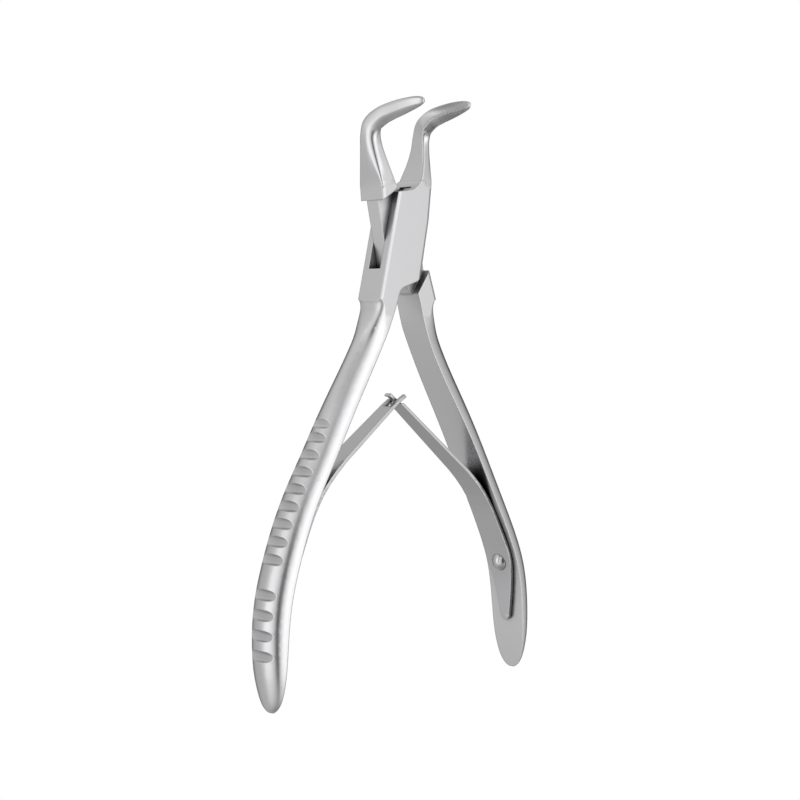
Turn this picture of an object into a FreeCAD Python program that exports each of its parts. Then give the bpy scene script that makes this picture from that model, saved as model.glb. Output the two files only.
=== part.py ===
import FreeCAD, Part
import math
import os

os.makedirs("parts", exist_ok=True)
V = FreeCAD.Vector

# Bone rongeur with a box joint, beaks bent to the front and two interlocked leaf springs.
# Units are millimetres. The pivot axis is the Z axis, the jaws point along +Y, the beaks
# point to the front (+Z) and z = 0 is the outer face of the back cheek.
# Every outline below is written for the closed instrument. Each half is then turned by
# open_angle about the pivot, which gives the open pose that the part is kept in.

# Driving dimensions
thick = 8.8                  # thickness of the lock, back cheek face to front cheek face
mid = thick / 2              # height of the middle plane
slot = 4.3                   # height of the slot through the box
slide_gap = 0.05             # gap between tongue and cheek, each side
tongue = slot - 2 * slide_gap
open_angle = 12.1            # each half is turned this far from the closed position
bevel_front = 0.72           # bevel of the long edges of the lock, across the flat faces
bevel_side = 0.3             # and down the sides, so it leans toward the front
steep = 3.0                  # an edge is a long one if it runs this much more along than across
edge_out = 4.5               # and if it lies at least this far from the middle

pin_d = 4.0                  # pivot pin, pressed into both cheeks
pin_gap = 0.05               # running gap between pin and tongue, radial

flat_end = -20.6             # where the flats of the lock have run out into the handle
lock_side = 6.5              # half width of the lock at its lower end
lock_low = -15.2             # where the lock ends and the handle neck starts
jaw_start = 12.4             # top corner of the cheeks, where the jaws start
cheek_gap = 0.2              # gap between a cheek edge and the other half, closed

slot_r = 9.45                # radius of the rounded slot ends about the pivot
slot_end = 7.3               # where those roundings start, from the pivot along the instrument
slot_low_turn = 261.0        # and where they end, in degrees about the pivot
slot_high_turn = 86.0
slot_foot = 13.4             # depth of the slot toward the handles
tongue_r = 9.2               # radius of the rounded tongue shoulders about the pivot
tongue_side = 5.8            # half width of the tongue
tongue_low_turn = 264.0      # where the tongue's roundings end, in degrees about the pivot
tongue_high_turn = 88.0
arc_steps = 7                # points on each of these roundings

leaf_root_t = 1.1            # leaf spring thickness at the rivet
leaf_tip_t = 0.8             # leaf spring thickness at the crossing
leaf_lift = 0.05             # gap between leaf spring and handle face
fork_front, fork_back = 1.05, 0.75   # the slot of the forked leaf, from the middle plane
neck_front, neck_back = 0.85, 0.6    # the neck of the other leaf, which passes through it
head_back = 1.35             # the hooked head behind the fork, toward the back
back_tine_end = -38.65       # the back tine of the fork ends here, under the hooked head
leaf_far = 60.0              # the leaves are cut from blocks that reach this far sideways

rivet_d = 2.6                # shank of the spring rivets
rivet_head_d = 4.7
rivet_head_h = 1.3
rivet_y = -89.4              # position of the rivets along the closed handles
rivet_depth = 3.6            # length of the shank inside the handle
leaf_hole_gap = 0.12         # radial gap between rivet shank and leaf spring
rivet_seat_gap = 0.06        # gap between leaf spring and rivet head

round_pull = 0.5523          # handle length of a curve that draws a quarter circle

groove_r = 1.4               # radius of the finger grooves
groove_depth = 1.1
groove_first = -51.6         # first full groove of the upper row
groove_pitch = 4.4
groove_count = 8
end_groove_first = -91.0     # first groove of the lower row, past the rivet
end_groove_pitch = 4.85
end_groove_count = 4

handle_end = -118.6          # end of the closed handles
spread = 19.7                # inner face of the closed handles from the middle, widest place
beak_top = 18.4              # tip of the beaks over the middle plane

# handle: distance along the handle, inner face from the middle, how far the left handle is
# bowed out and the right one in from there, depth, half width, and fullness of the rounded
# back (0.55 is an ellipse, 1 nearly square)
HANDLE = [
    (lock_low, 0.85, 0.0, 5.95, 4.75, 1.05),
    (-16.7, 1.00, 0.10, 4.95, 4.62, 1.00),
    (flat_end, 1.50, 0.35, 5.05, 4.45, 0.82),
    (-24.5, 2.25, 0.50, 5.30, 4.28, 0.65),
    (-30.0, 3.75, 0.70, 5.35, 4.28, 0.63),
    (-38.0, 6.35, 0.90, 5.40, 4.55, 0.63),
    (-48.0, 9.75, 1.00, 5.25, 5.00, 0.63),
    (-60.0, 13.45, 1.20, 5.05, 5.35, 0.63),
    (-72.0, spread - 2.95, 1.30, 5.00, 5.55, 0.63),
    (-80.0, spread - 1.25, 0.95, 4.95, 5.68, 0.63),
    (-88.0, spread - 0.1, 0.60, 4.90, 5.75, 0.63),
    (-95.0, spread, 0.50, 4.85, 5.80, 0.63),
    (handle_end + 16.6, spread - 0.75, 0.45, 4.65, 5.75, 0.63),
    (handle_end + 10.1, spread - 1.7, 0.35, 4.05, 5.45, 0.62),
    (handle_end + 5.6, spread - 2.35, 0.25, 3.10, 4.70, 0.60),
    (handle_end + 2.2, spread - 2.75, 0.20, 1.95, 3.45, 0.58),
    (handle_end + 0.5, spread - 2.9, 0.20, 0.95, 1.90, 0.56),
    (handle_end, spread - 2.95, 0.20, 0.40, 0.80, 0.55),
]

# jaw: position along the instrument, height over the middle plane, lean toward the front
# in degrees, half height, inner side from the middle, outer side of the left and of the
# right jaw, inner and outer corner radius
JAW = [
    (15.6, 0.0, 0.0, mid, 0.80, 5.42, 4.78, 0.35, 0.40),
    (17.0, 0.03, 0.0, 4.25, 0.95, 5.40, 4.75, 0.37, 0.45),
    (18.6, 0.1, 0.0, 3.95, 1.15, 5.40, 4.70, 0.40, 0.50),
    (21.8, 0.2, 0.0, 3.25, 1.45, 5.45, 4.60, 0.45, 0.65),
    (25.4, 0.1, 1.0, 2.55, 1.55, 5.25, 4.40, 0.50, 0.90),
    (28.4, 0.12, 10.0, 2.25, 1.25, 4.85, 4.15, 0.50, 1.20),
    (31.05, 1.06, 38.0, 2.34, 0.70, 4.20, 3.85, 0.45, 1.50),
    (32.95, 4.3, 68.0, 2.08, 0.15, 3.55, 3.40, 0.35, 1.45),
    (33.83, 7.6, 76.0, 1.94, 0.10, 3.02, 2.95, 0.30, 1.30),
    (34.52, 11.7, 80.0, 1.74, 0.10, 2.45, 2.45, 0.30, 1.10),
    (34.95, beak_top - 3.1, 85.0, 1.38, 0.10, 1.85, 1.85, 0.30, 0.85),
    (35.05, beak_top - 0.9, 90.0, 0.98, 0.10, 1.25, 1.25, 0.25, 0.50),
    (35.0, beak_top, 95.0, 0.50, 0.12, 0.70, 0.70, 0.15, 0.25),
]
cup_at = (34.2, 10.9)        # middle of the cup: along the instrument, over the middle plane
cup_lean = 80.0
cup_half = (6.7, 1.42, 1.2)  # half length, half width and depth of the cup

# upper edge of the cheeks, from their left corner to the inner side of the right jaw
CHEEK_TOP = [(-5.85, jaw_start), (-3.2, 13.3), (-1.5, 14.0), (-0.5, 14.75), (0.3, 15.75)]
# lower edge of the cheeks, from their right corner to the inner side of the left handle
CHEEK_LOW = [(5.75, -7.25), (4.65, -8.2), (1.8, -9.8), (0.4, -10.65), (-0.3, -11.45),
             (-0.65, -12.6)]
leaf_root_y = -99.5          # rounded lower end of the leaves, open pose
leaf_root_r = 1.5            # radius of that end
# half widths of a leaf along the instrument, from the rounded root to the crossing
LEAF_WIDTHS = [(leaf_root_y + leaf_root_r, leaf_root_r), (-94.0, 2.3), (-88.6, 3.2), (-83.0, 4.2),
               (-76.0, 4.15), (-68.0, 3.8), (-55.0, 3.25), (-50.0, 2.95), (-46.0, 2.65),
               (-43.0, 2.45), (-40.4, 2.35)]
# middle lines of the free part of the leaves, open pose
RIGHT_LEAF = [(33.0, -74.2), (31.0, -70.0), (28.6, -66.0), (25.5, -62.0), (21.5, -58.0),
              (17.0, -54.0), (12.4, -50.0), (7.5, -46.0), (3.6, -42.9), (0.0, -40.0),
              (-1.5, -38.75), (-3.2, -37.35)]
LEFT_LEAF = [(-34.3, -73.0), (-32.0, -68.0), (-28.6, -62.0), (-22.1, -54.8), (-13.8, -48.2),
             (-8.45, -44.3), (-4.05, -40.9), (-1.15, -38.95), (0.95, -37.75)]


def prism(points, z0, z1):
    """Straight-sided plate from a closed outline."""
    wire = Part.makePolygon([V(x, y, z0) for x, y in points + points[:1]])
    return Part.Face(wire).extrude(V(0, 0, z1 - z0))


def turned(shape, degrees):
    out = shape.copy()
    out.rotate(V(0, 0, 0), V(0, 0, 1), degrees)
    return out


def mirrored(shape):
    """Mirror from the right side of the middle to the left side."""
    return shape.mirror(V(0, 0, 0), V(1, 0, 0))


def arc_points(radius, a0, a1, count):
    """Points on a circle about the pivot, angles in degrees."""
    steps = [math.radians(a0 + (a1 - a0) * i / (count - 1)) for i in range(count)]
    return [(radius * math.cos(a), radius * math.sin(a)) for a in steps]


def angle_at_y(radius, y, left):
    a = math.degrees(math.asin(y / radius))
    return 180 - a if left else a


# The box half, closed position
def cheek_outline():
    """Cheek plate with the feet of the right jaw and the left handle."""
    left = [(-0.85, lock_low), (-lock_side, lock_low)]
    x_out = JAW[0][6]
    foot = [(0.75, 16.6), (0.95, 17.3), (2.5, 17.3), (2.5, 15.8), (x_out, 15.8), (5.55, 7.8)]
    return left + CHEEK_TOP + foot + CHEEK_LOW


def slot_outline():
    """The passage through the box, with ends rounded about the pivot."""
    low = arc_points(slot_r, angle_at_y(slot_r, -slot_end, True), slot_low_turn, arc_steps)
    high = arc_points(slot_r, angle_at_y(slot_r, slot_end, False), slot_high_turn, arc_steps)
    out = thick
    return ([(-out, -slot_end)] + low + [(-0.75, 1 - slot_foot), (-0.75, -slot_foot), (out, -slot_foot),
            (out, slot_end)] + high + [(0.5, 15.2), (-out, 15.2)])


def softened(plate):
    """Bevel the long side edges of a plate on its front and back faces."""
    edges = []
    for e in plate.Edges:
        a, b = e.firstVertex().Point, e.lastVertex().Point
        flat = abs(a.z - b.z) < 1e-6 and (abs(a.z) < 1e-6 or abs(a.z - thick) < 1e-6)
        upright = abs(a.y - b.y) > steep * abs(a.x - b.x)
        if flat and upright and min(abs(a.x), abs(b.x)) > edge_out:
            edges.append(e)
    return plate.makeChamfer(bevel_side, bevel_front, edges)


def box_plate():
    plate = softened(prism(cheek_outline(), 0, thick))
    gap = prism(slot_outline(), mid - slot / 2, mid + slot / 2)
    return plate.cut(gap)


# Jaws
def bend(start, come, end, go, pull):
    """Smooth edge that leaves start along come and arrives at end along go."""
    curve = Part.BezierCurve()
    curve.setPoles([start, start + come * pull[0], end - go * pull[1], end])
    return curve.toShape()


def bar_section(y, rise, lean, half, x_in, x_out, r_in, r_out):
    """Rounded rectangle across the jaw: flat inner side, softer outer side."""
    a = math.radians(lean)
    ex, ev = V(1, 0, 0), V(0, -math.sin(a), math.cos(a))
    at = V(0, y, mid + rise)
    corners = [(x_in, -half, -ev, ex, r_in), (x_out, -half, ex, ev, r_out),
               (x_out, half, ev, -ex, r_out), (x_in, half, -ex, -ev, r_in)]
    ends = []
    for x, v, come, go, r in corners:
        c = at + ex * x + ev * v
        ends.append((c - come * r, c + go * r, come, go, r * round_pull))
    edges = []
    for i, (start, end, come, go, pull) in enumerate(ends):
        edges.append(bend(start, come, end, go, (pull, pull)))
        edges.append(Part.LineSegment(end, ends[(i + 1) % 4][0]).toShape())
    return Part.Wire(edges)


def jaw_bar(side):
    """A jaw from the box to the tip of the beak, drawn on the right."""
    sections = []
    for y, rise, lean, half, x_in, x_left, x_right, r_in, r_out in JAW:
        x_out = x_left if side < 0 else x_right
        sections.append(bar_section(y, rise, lean, half, x_in, x_out, r_in, r_out))
    return Part.makeLoft(sections, True, False)


def cup():
    """Hollow of the beak, an elongated bowl open to the middle."""
    y, rise = cup_at
    length, width, depth = cup_half
    bowl = Part.makeSphere(1.0)
    m = FreeCAD.Matrix()
    m.scale(V(depth, length, width))
    bowl = bowl.transformGeometry(m)
    bowl.rotate(V(0, 0, 0), V(1, 0, 0), cup_lean)
    bowl.translate(V(0.1, y, mid + rise))
    return bowl


def jaw(side):
    return jaw_bar(side).cut(cup())


# Handles
def spline_value(rows, col, y):
    """Smooth value of one handle column at the position y."""
    n = len(rows)
    for i in range(n - 1):
        y0, y1 = rows[i][0], rows[i + 1][0]
        if y1 <= y <= y0:
            break
    h = y1 - y0
    t = (y - y0) / h
    p0, p1 = rows[i][col], rows[i + 1][col]

    def slope(j):
        lo, hi = max(j - 1, 0), min(j + 1, n - 1)
        return (rows[hi][col] - rows[lo][col]) / (rows[hi][0] - rows[lo][0])

    m0, m1 = slope(i) * h, slope(i + 1) * h
    return ((2 * t**3 - 3 * t**2 + 1) * p0 + (t**3 - 2 * t**2 + t) * m0
            + (-2 * t**3 + 3 * t**2) * p1 + (t**3 - t**2) * m1)


def inner_x(y, side):
    """Inner face of a handle from the middle; side is -1 for the left and 1 for the right."""
    return spline_value(HANDLE, 1, y) - side * spline_value(HANDLE, 2, y)


def handle_section(y, x_in, depth, half, full):
    """D-shaped section: flat inner face, rounded back."""
    low, high = V(x_in, y, mid - half), V(x_in, y, mid + half)
    back = V(x_in + depth, y, mid)
    pull = (full * depth, full * half)
    return Part.Wire([bend(low, V(1, 0, 0), back, V(0, 0, 1), pull),
                      bend(back, V(0, 0, 1), high, V(-1, 0, 0), pull[::-1]),
                      Part.LineSegment(high, low).toShape()])


def groove_rows():
    """Places of the finger grooves and their share of the full depth."""
    rows = [(groove_first + 0.8 * groove_pitch, 0.75)]
    rows += [(groove_first - k * groove_pitch, 1.0) for k in range(groove_count)]
    rows += [(end_groove_first - k * end_groove_pitch, 1.0) for k in range(end_groove_count)]
    return rows


def finger_grooves(side):
    """Cross grooves on the back of a handle, drawn on the right."""
    cuts = []
    for y, share in groove_rows():
        x = inner_x(y, side) + spline_value(HANDLE, 3, y)
        lean = (inner_x(y + 1, side) - inner_x(y - 1, side)) / 2
        n = V(1, -lean, 0).normalize()
        centre = V(x, y, -1) + n * (groove_r - groove_depth * share)
        cuts.append(Part.makeCylinder(groove_r, thick + 4, centre, V(0, 0, 1)))
    return cuts


def neck_flats():
    """What is ground off the neck, so that the faces of the lock run out into the handle."""
    top, low, far = lock_low + 1, 2 * flat_end - lock_low, lock_side + thick
    edge = prism([(lock_side, -18.0), (far, -18.0), (far, top), (lock_side, top)], -thick, 2 * thick)
    ring = [(0, low), (far, low), (far, top), (0, top)]
    return [edge, prism(ring, thick, 2 * thick), prism(ring, -thick, 0)]


def handle(side):
    """A handle with its finger grooves and rivet hole, drawn on the right."""
    sections = []
    for y, _, _, depth, half, full in HANDLE:
        sections.append(handle_section(y, inner_x(y, side), depth, half, full))
    bar = Part.makeLoft(sections, True, False)
    hole = rivet_bore(side, rivet_d / 2, -rivet_depth, 2 * rivet_depth)
    return bar.cut(neck_flats() + finger_grooves(side) + [hole])


# The tongue half, closed position
def upper_block():
    """Thick foot of the left jaw, cut to the slope of the cheeks."""
    edge = [(x, y + cheek_gap) for x, y in CHEEK_TOP[:4]]
    return edge + [(-0.8, 15.8), (-JAW[0][5], 15.8)]


def lower_block():
    """Thick foot of the right handle, cut to the slope of the cheeks."""
    (x0, y0), (x1, y1) = CHEEK_LOW[0], CHEEK_LOW[-1]
    return [(x0, y0 - 1.3 * cheek_gap), (0.6, y1 + cheek_gap), (0.85, lock_low),
            (lock_side, lock_low)]


def tongue_outline():
    """The flat tongue that passes through the slot."""
    low = arc_points(tongue_r, angle_at_y(tongue_r, 0.3 - slot_end, True), tongue_low_turn, arc_steps)
    high = arc_points(tongue_r, angle_at_y(tongue_r, slot_end, False), tongue_high_turn, arc_steps)
    return ([(-5.5, 14.0), (-5.75, 12.4), (-tongue_side, 0.0)] + low + [(-0.2, -12.0), (0.7, -12.9), (1.2, -14.0),
            (tongue_side, -14.0), (5.7, -7.85)] + high + [(0.2, 14.0), (-0.9, 15.5), (-5.3, 15.5)])


def tongue_plate():
    flat = prism(tongue_outline(), mid - tongue / 2, mid + tongue / 2)
    upper = softened(prism(upper_block(), 0, thick))
    lower = softened(prism(lower_block(), 0, thick))
    return flat.fuse([upper, lower])


def pin_hole(gap):
    return Part.makeCylinder(pin_d / 2 + gap, thick + 2, V(0, 0, -1))


# Leaf springs and rivets
def on_handle(y, side):
    """A point of a leaf's middle line on its handle, turned to the open pose."""
    a = math.radians(open_angle)
    x = inner_x(y, side) - leaf_lift - leaf_root_t / 2
    return (side * (x * math.cos(a) - y * math.sin(a)), x * math.sin(a) + y * math.cos(a))


def leaf_plan(tip):
    """Outline of a leaf seen from the side of the instrument, as a thick block."""
    edges = []
    for way in (1, -1):
        line = Part.BSplineCurve()
        line.interpolate([V(-leaf_far, y, mid + way * w) for y, w in LEAF_WIDTHS])
        edges.append(line.toShape())
    start, end = LEAF_WIDTHS[0], LEAF_WIDTHS[-1]
    edges.append(Part.Arc(V(-leaf_far, start[0], mid - start[1]), V(-leaf_far, leaf_root_y, mid),
                          V(-leaf_far, start[0], mid + start[1])).toShape())
    rows = [(end[0], end[1], end[1])] + tip
    corners = [V(-leaf_far, y, mid + front) for y, front, _ in rows]
    corners += [V(-leaf_far, y, mid - rear) for y, _, rear in reversed(rows)]
    edges.append(Part.makePolygon(corners))
    outline = Part.Wire(Part.__sortEdges__([e for w in edges for e in w.Edges]))
    return Part.Face(outline).extrude(V(2 * leaf_far, 0, 0))


def leaf_strip(path):
    """Endless strip along the middle line, thinner toward the crossing."""
    line = Part.BSplineCurve()
    line.interpolate([V(x, y, 0) for x, y in path])
    u0, u1 = line.FirstParameter, line.LastParameter
    sides = ([], [])
    steps = 24
    for i in range(steps + 1):
        u = u0 + (u1 - u0) * i / steps
        p, d = line.value(u), line.tangent(u)[0]
        half = (leaf_root_t + (leaf_tip_t - leaf_root_t) * i / steps) / 2
        sides[0].append(p + V(-d.y, d.x, 0) * half)
        sides[1].append(p + V(d.y, -d.x, 0) * half)
    curves = [Part.BSplineCurve(), Part.BSplineCurve()]
    for curve, points in zip(curves, sides):
        curve.interpolate(points)
    root = Part.LineSegment(sides[0][0], sides[1][0]).toShape()
    tip = Part.LineSegment(sides[0][-1], sides[1][-1]).toShape()
    wire = Part.Wire([root, curves[1].toShape(), tip, curves[0].toShape()])
    strip = Part.Face(wire).extrude(V(0, 0, 2 * thick))
    strip.translate(V(0, 0, mid - thick))
    return strip


ROOT_STATIONS = (-106.0, -101.0, -96.0, -92.0, -88.5, -85.0)


def rivet_frame(side):
    """Point on a handle's inner face and the direction to the middle, drawn on the right."""
    lean = inner_x(rivet_y + 0.5, side) - inner_x(rivet_y - 0.5, side)
    return V(inner_x(rivet_y, side), rivet_y, mid), V(-1, lean, 0).normalize()


def rivet_bore(side, radius, start, length):
    at, inward = rivet_frame(side)
    return Part.makeCylinder(radius, length, at + inward * start, inward)


def rivet(side):
    """Dome-headed rivet through the leaf into the handle, drawn on the right, closed."""
    at, inward = rivet_frame(side)
    seat = leaf_lift + leaf_root_t + rivet_seat_gap
    shank = rivet_bore(side, rivet_d / 2, -rivet_depth, rivet_depth + seat + 0.3)
    r, h = rivet_head_d / 2, rivet_head_h
    ball_r = (r * r + h * h) / (2 * h)
    ball = Part.makeSphere(ball_r, at + inward * (seat + h - ball_r))
    head = ball.common(rivet_bore(side, r + 1, seat, h + 1))
    return shank.fuse(head).removeSplitter()


def leaf_hole(side):
    return rivet_bore(side, rivet_d / 2 + leaf_hole_gap, -1, 2 + leaf_root_t)


def right_leaf():
    """Leaf with a narrow neck and a hooked head behind the other leaf's fork."""
    path = [on_handle(y, 1) for y in ROOT_STATIONS] + RIGHT_LEAF
    tip = [(-39.7, 2.3, 2.3), (-39.65, neck_front, neck_back), (-38.0, neck_front, neck_back),
           (-37.95, neck_front, head_back - 0.15), (-37.8, neck_front, head_back),
           (-37.3, neck_front, head_back), (-36.9, neck_front - 0.3, head_back - 0.4)]
    leaf = leaf_strip(path).common(leaf_plan(tip))
    return leaf.cut(turned(leaf_hole(1), open_angle))


def left_leaf():
    """Leaf with a fork that the other leaf's neck passes through."""
    path = [on_handle(y, -1) for y in ROOT_STATIONS] + LEFT_LEAF
    tip = [(-38.65, 2.25, 2.25), (-37.95, 2.1, 2.1), (-37.45, 1.8, 1.8), (-37.15, 1.4, 1.4)]
    leaf = leaf_strip(path).common(leaf_plan(tip))
    fork = Part.makeBox(12, 8, fork_front + fork_back, V(-6, -40.3, mid - fork_back))
    past = Part.makeBox(12, 8, thick, V(-6, back_tine_end, mid - thick))
    return leaf.cut([fork, past, turned(mirrored(leaf_hole(-1)), -open_angle)])


# The pieces
def box_half():
    """Slotted half: right jaw, box cheeks, left handle, one forging."""
    body = box_plate().fuse([jaw(1), mirrored(handle(-1))]).cut(pin_hole(0))
    return turned(body.removeSplitter(), -open_angle)


def tongue_half():
    """Half that passes through the box: left jaw, tongue, right handle, one forging."""
    body = tongue_plate().fuse([mirrored(jaw(-1)), handle(1)]).cut(pin_hole(pin_gap))
    return turned(body.removeSplitter(), open_angle)


def main():
    pieces = {
        "box_half": box_half(),
        "tongue_half": tongue_half(),
        "pivot_pin": Part.makeCylinder(pin_d / 2, thick),
        "left_spring": left_leaf(),
        "right_spring": right_leaf(),
        "left_spring_rivet": turned(mirrored(rivet(-1)), -open_angle),
        "right_spring_rivet": turned(rivet(1), open_angle),
    }
    for name, shape in pieces.items():
        solids = shape.Solids
        print(name, "solids", len(solids), "volume %.1f" % shape.Volume, "valid", shape.isValid())
        shape.exportStep("parts/%s.step" % name)


main()
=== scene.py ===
# %% [markdown]
# # A bone rongeur in stainless steel
# A rongeur nibbles bone between two cupped beaks. It has two forged halves, a pivot pin,
# two leaf springs that push the handles open, and a rivet for each spring.
# The measured parts come in as a fixed frame. This lesson gives them their finish, draws
# the jaws and the springs again in their finer form, and sets up the light, the
# background and the camera. Lengths are in metres where a line doesn't say otherwise.

import math

import bmesh
import bpy
from mathutils import Matrix, Vector


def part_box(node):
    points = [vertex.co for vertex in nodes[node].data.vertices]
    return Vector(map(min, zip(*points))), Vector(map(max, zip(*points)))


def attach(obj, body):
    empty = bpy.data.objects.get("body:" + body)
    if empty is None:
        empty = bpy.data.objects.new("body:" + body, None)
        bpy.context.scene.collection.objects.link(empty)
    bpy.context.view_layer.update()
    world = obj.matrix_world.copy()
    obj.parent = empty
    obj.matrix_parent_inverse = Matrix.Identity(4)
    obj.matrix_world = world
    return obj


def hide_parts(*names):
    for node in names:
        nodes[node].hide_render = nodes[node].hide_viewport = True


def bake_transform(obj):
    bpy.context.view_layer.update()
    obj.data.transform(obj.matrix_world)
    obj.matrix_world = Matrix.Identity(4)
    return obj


MM = 0.001

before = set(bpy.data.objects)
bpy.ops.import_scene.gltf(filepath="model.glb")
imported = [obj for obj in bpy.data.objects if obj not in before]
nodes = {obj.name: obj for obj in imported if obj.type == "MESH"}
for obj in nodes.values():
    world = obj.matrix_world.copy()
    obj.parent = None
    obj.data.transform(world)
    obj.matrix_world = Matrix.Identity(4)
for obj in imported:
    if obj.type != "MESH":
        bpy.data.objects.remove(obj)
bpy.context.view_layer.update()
print("pieces:", sorted(nodes))

# %% [markdown]
# ## Two helpers
# A material in Blender is a network of boxes: each box does one job and passes its result
# on. Writing every box and wire out is long, so one helper adds a box, sets it and wires
# it. The other adds a curve, which turns a place along the instrument into a roughness, and
# later a direction in the studio into a brightness.

# %% Add a box, add a curve
def add_node(tree, kind, sockets=None, **settings):
    """Add one box. An output is wired to its socket, a number or colour is written there."""
    box = tree.nodes.new(kind)
    for name, setting in settings.items():
        setattr(box, name, setting)
    for socket, value in (sockets or {}).items():
        if isinstance(value, bpy.types.NodeSocket):
            tree.links.new(value, box.inputs[socket])
        else:
            box.inputs[socket].default_value = value
    return box


def add_curve(tree, stops, source, top=1):
    """A smooth curve through stops of (place, value), read by a source that runs from 0 to 1.

    A curve box holds values up to 1, so each value is divided by top.
    """
    low, high = stops[0][0], stops[-1][0]
    points = [((place - low) / (high - low), value / top) for place, value in stops]
    box = add_node(tree, "ShaderNodeFloatCurve", {"Value": source})
    curve = box.mapping.curves[0]
    curve.points[0].location = points[0]
    curve.points[1].location = points[-1]
    for point in points[1:-1]:
        curve.points.new(*point)
    box.mapping.update()
    return box.outputs[0]


# %% [markdown]
# ## The steel
# The instrument is stainless steel, satin ground all over. On the real object the lock has
# flat faces with a fine even grain, and the handles and jaws are rubbed brighter by hand.
# A picture of steel could be wrapped round the parts, but then the reflections wouldn't
# move with the light. Here one recipe makes all the finishes instead: pure metal, a
# roughness that changes a little from place to place, a very fine grain, edges that catch
# the light as softly broken edges do, and painted shade that darkens narrow hollows.
#
# The roughness comes first. Rubbing by hand is never quite even, so it drifts a little, and
# it may also follow zones along the instrument.

# %% How rough the steel is
DRIFT_SCALE, DRIFT_DETAIL = 90, 3
DRIFT = 0.04                  # the roughness drifts by this much either way


def roughness(tree, place, rough, zones):
    """Roughness round one value, or round zones of (place along the instrument, roughness)."""
    cloud = add_node(tree, "ShaderNodeTexNoise",
                     {"Vector": place, "Scale": DRIFT_SCALE, "Detail": DRIFT_DETAIL})
    drift = add_node(tree, "ShaderNodeMapRange",
                     {"Value": cloud.outputs["Fac"], "To Min": -DRIFT, "To Max": DRIFT})
    if zones:
        split = add_node(tree, "ShaderNodeSeparateXYZ", {"Vector": place})
        along = add_node(tree, "ShaderNodeMapRange",
                         {"Value": split.outputs["Y"],
                          "From Min": zones[0][0], "From Max": zones[-1][0]})
        rough = add_curve(tree, zones, along.outputs["Result"])
    total = add_node(tree, "ShaderNodeMath", {0: drift.outputs["Result"], 1: rough},
                     operation="ADD")
    return total.outputs[0]


# %% [markdown]
# ### Grain and edges
# The grinding belt leaves fine lines across the instrument, so a fine noise is squeezed
# lengthwise and used as a very low bump. A real edge is never a knife edge either: the
# Bevel box rounds the shading over a given width without adding faces. Near the pivot it is
# switched off, because the pin is riveted over and ground flush, and its ring doesn't show.

# %% Which way the surface faces
GRAIN_SCALE, GRAIN_DETAIL = 900, 2
GRAIN_SQUEEZE = (1, 14, 1)
GRAIN_DEPTH = 0.00002
EDGE_SAMPLES = 6
PIN_RING = (0.0024, 0.0028)   # edges nearer to the pivot axis than the first aren't rounded,
                              # and edges farther from it than the second are rounded fully
FLATTEN = (1, 1, 0)           # drops the height, to measure from the pivot axis


def surface(tree, place, grain, edge):
    """The way the surface faces, with this much grain and edges rounded over this width."""
    squeezed = add_node(tree, "ShaderNodeMapping", {"Vector": place, "Scale": GRAIN_SQUEEZE})
    fine = add_node(tree, "ShaderNodeTexNoise",
                    {"Vector": squeezed.outputs["Vector"],
                     "Scale": GRAIN_SCALE, "Detail": GRAIN_DETAIL})
    flat = add_node(tree, "ShaderNodeVectorMath", {0: place, 1: FLATTEN}, operation="MULTIPLY")
    far = add_node(tree, "ShaderNodeVectorMath", {0: flat.outputs[0]}, operation="LENGTH")
    width = add_node(tree, "ShaderNodeMapRange",
                     {"Value": far.outputs["Value"],
                      "From Min": PIN_RING[0], "From Max": PIN_RING[1],
                      "To Min": 0, "To Max": edge})
    rounded = add_node(tree, "ShaderNodeBevel", {"Radius": width.outputs["Result"]},
                       samples=EDGE_SAMPLES)
    bump = add_node(tree, "ShaderNodeBump",
                    {"Strength": grain, "Distance": GRAIN_DEPTH,
                     "Height": fine.outputs["Fac"], "Normal": rounded.outputs["Normal"]})
    return bump.outputs["Normal"]


# %% [markdown]
# ### Painted shade in hollows
# Shade is painted into the colour where the steel is closed in: in the slot, in the finger
# grooves and under the springs. The Ambient Occlusion box tells how closed in a place is,
# and the colour turns nearly black where it is most closed in. Shade painted on by hand
# would have to be painted again whenever the shape changes.

# %% What colour the steel is, with painted shade in hollows
SHADE_SAMPLES = 6
SHADE_REACH = 0.003            # how far away a wall still closes a place in
PAINTED_SHADE_COLOUR = (0.02, 0.02, 0.021, 1)
# from how open a place is, to how much of the steel's colour is kept; the rest is painted shade
SHADE_RANGE = {"From Min": 0.26, "From Max": 0.88, "To Min": 0.08, "To Max": 1}
SHARE, COLOUR_A, COLOUR_B, MIXED = 0, 6, 7, 2  # a Mix box's sockets for colours, by number


def painted_hollow_shade(tree, colour):
    """The steel's colour, with painted shade darkening it in narrow hollows."""
    # painted shade: the colour goes nearly black where nearby surfaces close a place in
    open_air = add_node(tree, "ShaderNodeAmbientOcclusion", {"Distance": SHADE_REACH},
                        samples=SHADE_SAMPLES)
    unshaded = add_node(tree, "ShaderNodeMapRange", {"Value": open_air.outputs["AO"], **SHADE_RANGE})
    mix = add_node(tree, "ShaderNodeMix",
                   {SHARE: unshaded.outputs["Result"], COLOUR_A: PAINTED_SHADE_COLOUR, COLOUR_B: colour},
                   data_type="RGBA")
    return mix.outputs[MIXED]


# %% [markdown]
# ### The four finishes
# The halves and the pin are the same steel. The halves are smoothest on the handles and the
# jaws, and dullest on the flat faces of the lock, where the pin sits, so the pin has the
# dull roughness throughout. The springs are a little darker, and the domes of the rivets
# are polished most.

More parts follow.
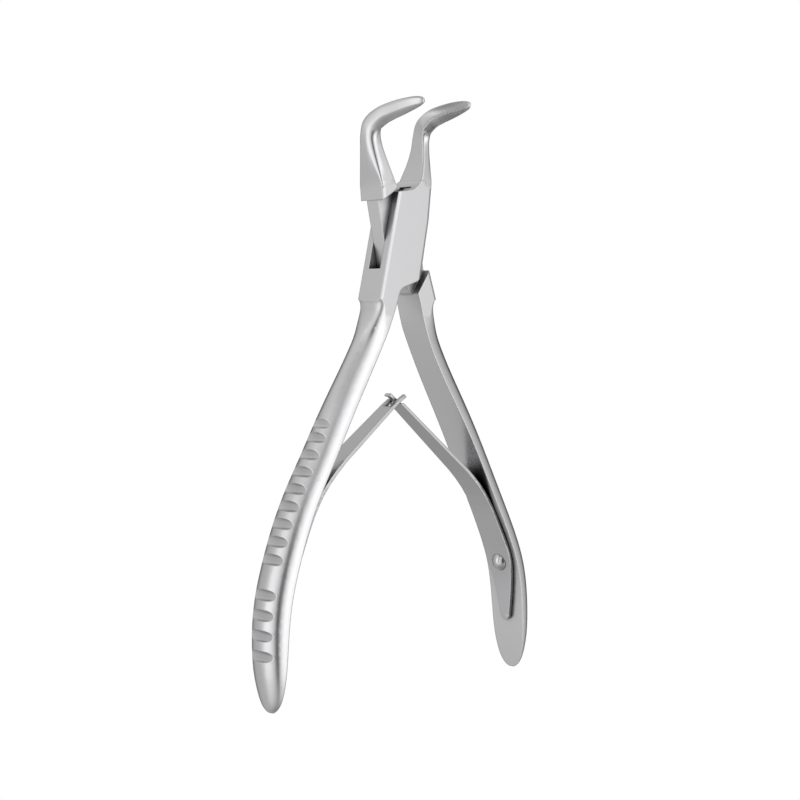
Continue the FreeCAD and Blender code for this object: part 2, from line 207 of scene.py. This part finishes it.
# %% Mix the finishes
def steel(name, colour, rough, grain, edge, zones=None):
    """One satin steel, from its colour, roughness, grain and width of the edges."""
    colour = (*colour, 1)
    material = bpy.data.materials.new(name)
    material.use_nodes = True
    tree = material.node_tree
    place = add_node(tree, "ShaderNodeTexCoord").outputs["Object"]
    metal = tree.nodes["Principled BSDF"]
    metal.inputs["Metallic"].default_value = 1
    metal.inputs["Base Color"].default_value = colour
    # the base colour carries painted shade in the hollows
    tree.links.new(painted_hollow_shade(tree, colour), metal.inputs["Base Color"])
    tree.links.new(roughness(tree, place, rough, zones), metal.inputs["Roughness"])
    tree.links.new(surface(tree, place, grain, edge), metal.inputs["Normal"])
    return material


HALF_ZONES = (
    (-0.120, 0.24), (-0.085, 0.27), (-0.060, 0.27), (-0.045, 0.24), (-0.022, 0.21),  # handles
    (-0.017, 0.33), (0.013, 0.33),                                                   # lock
    (0.018, 0.20), (0.024, 0.22), (0.029, 0.27), (0.040, 0.27),                      # jaws
)
FORGED_COLOUR = (0.67, 0.67, 0.68)
finishes = {
    "forged_steel": steel("forged_steel", FORGED_COLOUR, 0.22, 0.12, 0.0004, HALF_ZONES),
    "pin_steel": steel("pin_steel", FORGED_COLOUR, 0.33, 0.12, 0.00001),
    "spring_steel": steel("spring_steel", (0.58, 0.58, 0.59), 0.26, 0.15, 0.0002),
    "rivet_steel": steel("rivet_steel", (0.62, 0.62, 0.63), 0.14, 0.05, 0.00015),
}
print("finishes:", sorted(finishes))


# %% [markdown]
# ## The pin and the rivets
# The pin holds the two halves together, and a dome-headed rivet holds each spring. These
# pieces are shown just as they were measured: they are plain turned shapes, so there is
# nothing to draw again. Each gets the steel of its own slot.

# %% Put the finishes on
def dress(piece, slot):
    """Give a piece the finish of a slot; the finish carries the slot's name."""
    piece.data.materials.clear()
    piece.data.materials.append(finishes[slot])


SLOTS = {
    "pivot_pin": "pin_steel",
    "left_spring_rivet": "rivet_steel",
    "right_spring_rivet": "rivet_steel",
}
for node, slot in SLOTS.items():
    dress(nodes[node], slot)
print("dressed:", sorted(SLOTS))


# %% [markdown]
# ## Reshaping a measured piece
# The measured pieces can't be changed, but a copy of one can be, and it then takes the
# piece's place. A copy is opened for editing, cut with flat planes where that is needed,
# and closed again as a new piece.

# %% Open a copy, cut it, close it
SAME_POINT = 1e-6             # corners closer together than this are one corner
ON_CUT = 1e-7                 # corners closer to a cutting plane than this lie on it


def open_copy(node):
    """An editable copy of a measured piece, with doubled corners joined."""
    mesh = bmesh.new()
    mesh.from_mesh(nodes[node].data)
    bmesh.ops.remove_doubles(mesh, verts=mesh.verts, dist=SAME_POINT)
    return mesh


def cut(mesh, point, direction, remove=False):
    """Cut all faces with a plane. With remove, what lies beyond the plane is taken away."""
    everything = [*mesh.verts, *mesh.edges, *mesh.faces]
    result = bmesh.ops.bisect_plane(mesh, geom=everything, dist=ON_CUT, plane_co=point,
                                    plane_no=direction, clear_outer=remove)
    return [item for item in result["geom_cut"] if isinstance(item, bmesh.types.BMEdge)]


def close_copy(mesh, name):
    """Make the edited copy a piece of the scene."""
    data = bpy.data.meshes.new(name)
    mesh.to_mesh(data)
    mesh.free()
    piece = bpy.data.objects.new(name, data)
    bpy.context.scene.collection.objects.link(piece)
    return piece


# %% [markdown]
# ## The two forged halves
# Below the jaws each half is shown just as it was measured. The jaws are ground by hand to a
# softer form than a measured bar: boxy where they leave the lock, round on the outer front
# edge higher up, keeled under the beak, and hollowed to a thin cutting rim inside it. They
# could be carved freely, but then the two beaks would hardly meet. So the measured shape is
# cut off where the jaws start, and the jaws are drawn again from measures, ring by ring.

# %% Measures of the jaws
# in millimetres: along the instrument, height over the middle plane; in degrees: lean to
# the front; in millimetres: half height, inner side, outer side of the left and of the
# right jaw, radius of the inner and of the outer corners; from 0 to 1: roundness of the
# outer front edge and of the outer back edge, and strength of the keel under the beak
JAW = (
    (15.6, 0.0, 0.0, 4.40, 0.80, 5.42, 4.78, 0.35, 0.40, 0.0, 0.0, 0.0),
    (17.0, 0.03, 0.0, 4.25, 0.95, 5.40, 4.75, 0.37, 0.45, 0.0, 0.0, 0.0),
    (18.6, 0.1, 0.0, 3.95, 1.15, 5.40, 4.70, 0.40, 0.50, 0.12, 0.0, 0.0),
    (21.8, 0.2, 0.0, 3.25, 1.45, 5.45, 4.60, 0.45, 0.65, 0.55, 0.0, 0.0),
    (25.4, 0.1, 1.0, 2.55, 1.55, 5.25, 4.40, 0.45, 0.80, 0.9, 0.0, 0.0),
    (28.4, 0.12, 10.0, 2.25, 1.25, 4.85, 4.15, 0.35, 0.80, 0.9, 0.1, 0.15),
    (31.05, 1.06, 38.0, 2.34, 0.70, 4.20, 3.85, 0.30, 0.70, 0.6, 0.4, 0.6),
    (32.95, 4.3, 68.0, 2.08, 0.15, 3.55, 3.40, 0.22, 0.45, 0.25, 0.6, 1.0),
    (33.83, 7.6, 76.0, 1.94, 0.10, 3.02, 2.95, 0.18, 0.35, 0.1, 0.7, 1.0),
    (34.52, 11.7, 80.0, 1.74, 0.10, 2.45, 2.45, 0.16, 0.32, 0.05, 0.8, 1.0),
    (34.95, 15.3, 85.0, 1.38, 0.10, 1.85, 1.85, 0.15, 0.30, 0.05, 0.8, 0.9),
    (35.05, 17.5, 90.0, 0.98, 0.10, 1.25, 1.25, 0.14, 0.25, 0.05, 0.7, 0.6),
    (35.0, 18.4, 95.0, 0.50, 0.12, 0.70, 0.70, 0.12, 0.20, 0.1, 0.4, 0.2),
)
FIRST_ROW = 1                 # the jaws are drawn again from this row on
LAST_ROW = len(JAW) - 1
JAW_START = JAW[FIRST_ROW][0] * MM


def measures(place):
    """All jaw measures at a place between two rows, on a smooth curve through the rows."""
    row = min(int(place), LAST_ROW - 1)
    t = place - row
    near = [JAW[min(max(k, 0), LAST_ROW)] for k in (row - 1, row, row + 1, row + 2)]
    found = []
    for a, b, c, d in zip(*near):
        found.append(0.5 * (2 * b + (c - a) * t + (2 * a - 5 * b + 4 * c - d) * t * t
                            + (3 * b - a - 3 * c + d) * t ** 3))
    return found


print("jaw rows:", len(JAW), "from", JAW[0][0], "to", JAW[-1][0], "mm along")

# %% [markdown]
# ### Corner, cup and keel
# Seen across, a jaw is a box whose four corners are rounded. Toward the beak its outer front
# corner turns into a quarter of an ellipse, so each quarter of the ring is a mix of the two.
# The cup is a shallow hollow on the inner side. It leaves a thin rim all round, which is the
# edge that bites. The keel is a ridge under the beak that makes the thin beak stiff.

# %% Corner, cup and keel
SOFT = 2.3                    # 2 draws an ellipse, more a fuller one
CUP_LOW, CUP_HIGH = 1.6, 17.7  # height of the two ends of the cup, in millimetres
CUP_DEPTH, CUP_RIM = 1.0, 0.16  # in millimetres
CUP_ENDS, CUP_SIDES = 0.7, 0.75  # less makes the cup fuller toward its ends and its sides
KEEL_OUT = 0.26               # in the middle the keel adds this share of the half height
KEEL_FLANK = 0.8              # toward the sides this share of it is taken away again
KEEL_CURVE = 1.4              # more keeps the ridge broad


def corner(s, wide, tall, radius, soft, side_end, arc_end):
    """A point of one quarter of the ring, s from 0 on the side to 1 on the face."""
    if s < side_end:
        boxy = (wide, (tall - radius) * s / side_end)
    elif s < arc_end:
        turn = math.pi / 2 * (s - side_end) / (arc_end - side_end)
        boxy = (wide - radius + radius * math.cos(turn), tall - radius + radius * math.sin(turn))
    else:
        boxy = ((wide - radius) * (1 - s) / (1 - arc_end), tall)
    turn = math.pi / 2 * s
    round_one = (wide * math.cos(turn) ** (2 / SOFT), tall * math.sin(turn) ** (2 / SOFT))
    return [a + (b - a) * soft for a, b in zip(boxy, round_one)]


def hollow(rise, v, edge):
    """Depth of the cup at a height, and at a distance from the middle of the beak."""
    t = (rise - CUP_LOW) / (CUP_HIGH - CUP_LOW)
    across = 1 - (v / (edge - CUP_RIM)) ** 2
    if not 0 < t < 1 or across <= 0:
        return 0
    return CUP_DEPTH * math.sin(math.pi * t) ** CUP_ENDS * across ** CUP_SIDES


def keeled(share, keel):
    """How much the half height grows, at a share of the way from the middle to the side."""
    return 1 + max(keel, 0) * (KEEL_OUT - KEEL_FLANK * share ** KEEL_CURVE)


print("half height in the middle and at the sides:", keeled(0, 1), round(keeled(1, 1), 2))

# %% [markdown]
# ### One ring
# A ring goes once round the jaw. It starts as four quarters in the jaw's own section, then
# leans with the beak, and turns about the pivot to where the open instrument holds it.

# %% One ring of a jaw
MID = 0.0044                  # height of the middle plane of the instrument
OPEN = math.radians(12.1)     # each half is turned this far from closed
STEPS = 22                    # points in a quarter of a ring
INNER_ENDS = (0.66, 0.8)      # on an inner quarter: where the side ends, and the corner
OUTER_ENDS = (0.3, 0.7)       # the same on an outer quarter


def section(place, side):
    """The points of one ring as (across, along, up), in millimetres, drawn as a closed right jaw."""
    y, rise, lean, half, x_in, x_left, x_right, r_in, r_out, front, rear, keel = measures(place)
    x_out = x_left if side < 0 else x_right
    middle, wide = (x_in + x_out) / 2, (x_out - x_in) / 2
    front, rear = max(front, 0), max(rear, 0)
    quarters = ((-1, -1, r_in, 0, *INNER_ENDS), (1, -1, r_out, rear, *OUTER_ENDS),
                (1, 1, r_out, front, *OUTER_ENDS), (-1, 1, r_in, 0, *INNER_ENDS))
    tilt = math.radians(lean)
    points = []
    for number, (outward, upward, radius, soft, side_end, arc_end) in enumerate(quarters):
        for k in range(STEPS):
            s = k / STEPS
            s = s if number in (0, 2) else 1 - s
            a, v = corner(s, wide, half, radius, soft, side_end, arc_end)
            edge = half
            if upward > 0:
                v *= keeled(a / wide, keel)
                edge *= keeled(1, keel)
            x, v = middle + outward * a, upward * v
            if outward < 0 and s < side_end:
                x += hollow(rise, v, edge)
            points.append((x, y - v * math.sin(tilt), rise + v * math.cos(tilt)))
    return points


def ring(place, side):
    """One closed ring of points, for the left jaw (side -1) or the right jaw (side 1)."""
    turn = -side * OPEN
    placed = []
    for x, y, z in section(place, side):
        x = side * x
        placed.append((MM * (x * math.cos(turn) - y * math.sin(turn)),
                       MM * (x * math.sin(turn) + y * math.cos(turn)), MID + MM * z))
    return placed


print("points in a ring:", len(ring(FIRST_ROW, 1)))


# %% [markdown]
# ### A whole half
# The jaw starts where the measured half is cut off, and the cut is closed with a face. Then
# the rings are joined by faces, like the hoops of a barrel. The shading is smooth, but keeps
# real edges sharp: the flat lock keeps even slight ones, the rounded rest only clear ones.

# %% A half with its jaw drawn again
RINGS = 90
LOCK = (-0.021, 0.0172)       # the lock lies between these places along the instrument
LOCK_SHARP = math.radians(10)
OTHER_SHARP = math.radians(26)


def sharpen(mesh):
    """Smooth shading that keeps sharp edges, on the lock also slight ones."""
    for edge in mesh.edges:
        on_lock = LOCK[0] < edge.verts[0].co.y < LOCK[1]
        edge.smooth = edge.calc_face_angle(0) < (LOCK_SHARP if on_lock else OTHER_SHARP)
    for face in mesh.faces:
        face.smooth = True


def add_jaw(mesh, side):
    """Add the rings of a jaw and the faces between them, and close both ends."""
    rings = []
    for i in range(RINGS + 1):
        place = FIRST_ROW + (LAST_ROW - FIRST_ROW) * i / RINGS
        rings.append([mesh.verts.new(point) for point in ring(place, side)])
    for below, above in zip(rings, rings[1:]):
        for k in range(len(below)):
            mesh.faces.new((below[k - 1], below[k], above[k], above[k - 1]))
    mesh.faces.new(rings[0])
    mesh.faces.new(rings[-1])


def forged_half(node, body, side):
    """One half: the measured shape up to the jaw, and the jaw from its rings."""
    mesh = open_copy(node)
    turn = -side * OPEN
    along = Vector((-math.sin(turn), math.cos(turn), 0))
    rim = cut(mesh, along * JAW_START, along, remove=True)
    bmesh.ops.edgeloop_fill(mesh, edges=rim)
    add_jaw(mesh, side)
    bmesh.ops.recalc_face_normals(mesh, faces=mesh.faces)
    sharpen(mesh)
    piece = close_copy(mesh, node + "_ground")
    dress(piece, "forged_steel")
    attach(piece, body)
    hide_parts(node)
    print(piece.name, "corners:", len(piece.data.vertices))


forged_half("box_half", "box_side", 1)
forged_half("tongue_half", "tongue_side", -1)


# %% [markdown]
# ## The leaf springs
# Each spring is a thin strip of spring steel. It is riveted flat against a handle near the
# handle's end, and its free end hooks into the other one at the crossing. When the handles
# close, the strip bends between the rivet and the crossing.
# Here it is drawn again from its measured shape: flat areas are made whole, the long edges
# are rounded as on a tumbled strip, and the strip is cut across into many short lengths.
# It is left unbent, as measured.

# %% Springs cut across into short lengths
LEAF_FLAT = math.radians(2.5)   # faces closer in angle than this become one
LEAF_CORNER = math.radians(40)  # edges sharper than this are rounded
LEAF_EDGE = 0.00025             # the width that they are rounded over
LEAF_EDGE_STEPS = 3
LEAF_SHARP = math.radians(30)   # edges sharper than this stay sharp in the shading
LEAF_CUTS = 60
FLAT_WEIGHT = 90                # how strongly the large faces rule the shading


def leaf_shape(node):
    """A leaf's measured shape with rounded edges, cut across for bending."""
    mesh = open_copy(node)
    bmesh.ops.dissolve_limit(mesh, angle_limit=LEAF_FLAT, verts=mesh.verts, edges=mesh.edges)
    long_edges = [edge for edge in mesh.edges if edge.calc_face_angle(0) > LEAF_CORNER]
    bmesh.ops.bevel(mesh, geom=long_edges, offset=LEAF_EDGE, segments=LEAF_EDGE_STEPS,
                    profile=0.5, affect="EDGES", clamp_overlap=True)
    bmesh.ops.triangulate(mesh, faces=[face for face in mesh.faces if len(face.verts) > 4])
    low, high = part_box(node)
    for i in range(1, LEAF_CUTS):
        cut(mesh, (0, low.y + (high.y - low.y) * i / LEAF_CUTS, 0), (0, 1, 0))
    return mesh


def bending_leaf(node):
    """A leaf drawn again from its measured shape and shaded smooth, shown instead of the measured
    one.
    """
    piece = close_copy(leaf_shape(node), node + "_bent")
    piece.data.shade_smooth()
    piece.data.set_sharp_from_angle(angle=LEAF_SHARP)
    flat = piece.modifiers.new("flat_faces_lead", "WEIGHTED_NORMAL")
    flat.keep_sharp = True
    flat.weight = FLAT_WEIGHT
    dress(piece, "spring_steel")
    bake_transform(piece)
    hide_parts(node)
    print(piece.name, "corners:", len(piece.data.vertices))


bending_leaf("left_spring")
bending_leaf("right_spring")

# %% [markdown]
# ## Light
# Steel shows what stands round it. Here that is a studio: a bright wall on the left, a
# brighter one on the right, a narrow dark gap where the camera stands, and darkness behind
# the instrument, which draws the thin dark outlines. Real lamps and cards would do it too,
# but each of them would have to be kept out of the camera's sight. So the studio is painted
# on the world by direction: walls by the direction round the instrument's length, and a
# dome toward its two ends.
#
# The picture is a cut-out on plain white, with no floor and no shadow. So the scene has no
# floor either, and the camera itself sees plain white.

# %% The studio's brightness
CAMERA_TURN = math.radians(42.22)
TOP_VALUE = 2.0               # nothing in the studio is brighter than this
# degrees round from the camera, minus to its left, and brightness
WALLS = (
    (-180, 0.02), (-158, 0.08), (-142, 0.26), (-122, 0.52), (-98, 0.6),
    (-84, 0.8), (-70, 1.35), (-50, 1.3), (-34, 1.0), (-20, 0.75),
    (-10, 0.3), (-3, 0.05), (2, 0.03), (8, 0.06), (14, 0.35),
    (23, 0.9), (38, 1.3), (54, 1.6), (66, 1.6), (80, 1.0),
    (98, 0.66), (118, 0.5), (140, 0.14), (158, 0.04), (180, 0.02),
)
# toward the handles' ends is -1, toward the jaws 1, and brightness
DOME = (
    (-1.0, 0.32), (-0.87, 0.4), (-0.63, 0.54), (-0.3, 0.55), (0.0, 0.6),
    (0.3, 0.7), (0.63, 0.82), (0.87, 0.46), (1.0, 0.6),
)
# how far a direction points toward either end, and how much of the dome it sees there
DOME_SHARE = ((0.0, 0.0), (0.2, 0.05), (0.35, 0.2), (0.63, 0.75), (0.85, 0.97), (1.0, 1.0))
print("studio stops:", len(WALLS), "round and", len(DOME), "along")

# %% The studio, painted by direction
world = bpy.data.worlds.new("studio")
bpy.context.scene.world = world
world.use_nodes = True
sky = world.node_tree
sky.nodes.clear()
look = add_node(sky, "ShaderNodeTexCoord").outputs["Generated"]


def toward(direction):
    """How far the look points in a direction, from -1 to 1."""
    box = add_node(sky, "ShaderNodeVectorMath", {0: look, 1: direction}, operation="DOT_PRODUCT")
    return box.outputs["Value"]


def sums(operation, a, b):
    """One sum of two values."""
    return add_node(sky, "ShaderNodeMath", {0: a, 1: b}, operation=operation).outputs[0]


to_right = toward((math.cos(CAMERA_TURN), 0, math.sin(CAMERA_TURN)))
to_camera = toward((-math.sin(CAMERA_TURN), 0, math.cos(CAMERA_TURN)))
to_jaws = toward((0, 1, 0))
turn = sums("DIVIDE", sums("ARCTAN2", to_right, to_camera), 2 * math.pi)
walls = add_curve(sky, WALLS, sums("ADD", turn, 0.5), TOP_VALUE)
dome = add_curve(sky, DOME, sums("ADD", sums("MULTIPLY", to_jaws, 0.5), 0.5), TOP_VALUE)
share = add_curve(sky, DOME_SHARE, sums("ABSOLUTE", to_jaws, 0), TOP_VALUE)
share = sums("MULTIPLY", share, TOP_VALUE)
light = sums("ADD", sums("MULTIPLY", walls, sums("SUBTRACT", 1, share)),
             sums("MULTIPLY", dome, share))
print("boxes in the studio:", len(sky.nodes))

# %% [markdown]
# ### White for the camera
# A mix lets the camera see plain white while everything else sees the studio. It changes
# only the background, and adds no light to the instrument.

# %% White for the camera, the studio for the steel
WHITE = (1, 1, 1, 1)
studio = add_node(sky, "ShaderNodeBackground",
                  {"Color": WHITE, "Strength": sums("MULTIPLY", light, TOP_VALUE)})
white = add_node(sky, "ShaderNodeBackground", {"Color": WHITE})
rays = add_node(sky, "ShaderNodeLightPath")
pick = add_node(sky, "ShaderNodeMixShader",
                {0: rays.outputs["Is Camera Ray"], 1: studio.outputs[0], 2: white.outputs[0]})
add_node(sky, "ShaderNodeOutputWorld", {"Surface": pick.outputs[0]})
print("background for the camera:", WHITE)

# %% [markdown]
# ## Camera
# The camera stands about 45 cm away, 42 degrees round toward the slotted side of the lock
# and slightly toward the jaws, and looks at the middle of the instrument. A long lens from
# there keeps the near handle from looking much larger than the far one.

# %% Camera and colour
TARGET = Vector((-0.00089, -0.03879, 0.00624))
DISTANCE = 0.4479
RISE = math.radians(2.89)
ROLL = math.radians(-0.24)
LENS_MM = 80.0
SENSOR_MM = 36

level = Vector((math.cos(CAMERA_TURN), 0, math.sin(CAMERA_TURN)))
back = Vector((-math.sin(CAMERA_TURN) * math.cos(RISE), math.sin(RISE),
               math.cos(CAMERA_TURN) * math.cos(RISE)))
above = back.cross(level)
right_axis = level * math.cos(ROLL) + above * math.sin(ROLL)
up_axis = above * math.cos(ROLL) - level * math.sin(ROLL)
turned = Matrix((right_axis, up_axis, back)).transposed().to_4x4()

lens = bpy.data.cameras.new("camera")
lens.lens = LENS_MM
lens.sensor_width = SENSOR_MM
camera = bpy.data.objects.new("camera", lens)
camera.matrix_world = Matrix.Translation(TARGET + back * DISTANCE) @ turned
bpy.context.scene.collection.objects.link(camera)
bpy.context.scene.camera = camera
bpy.context.scene.view_settings.view_transform = "Standard"
print("camera at", [round(v, 4) for v in camera.matrix_world.translation])
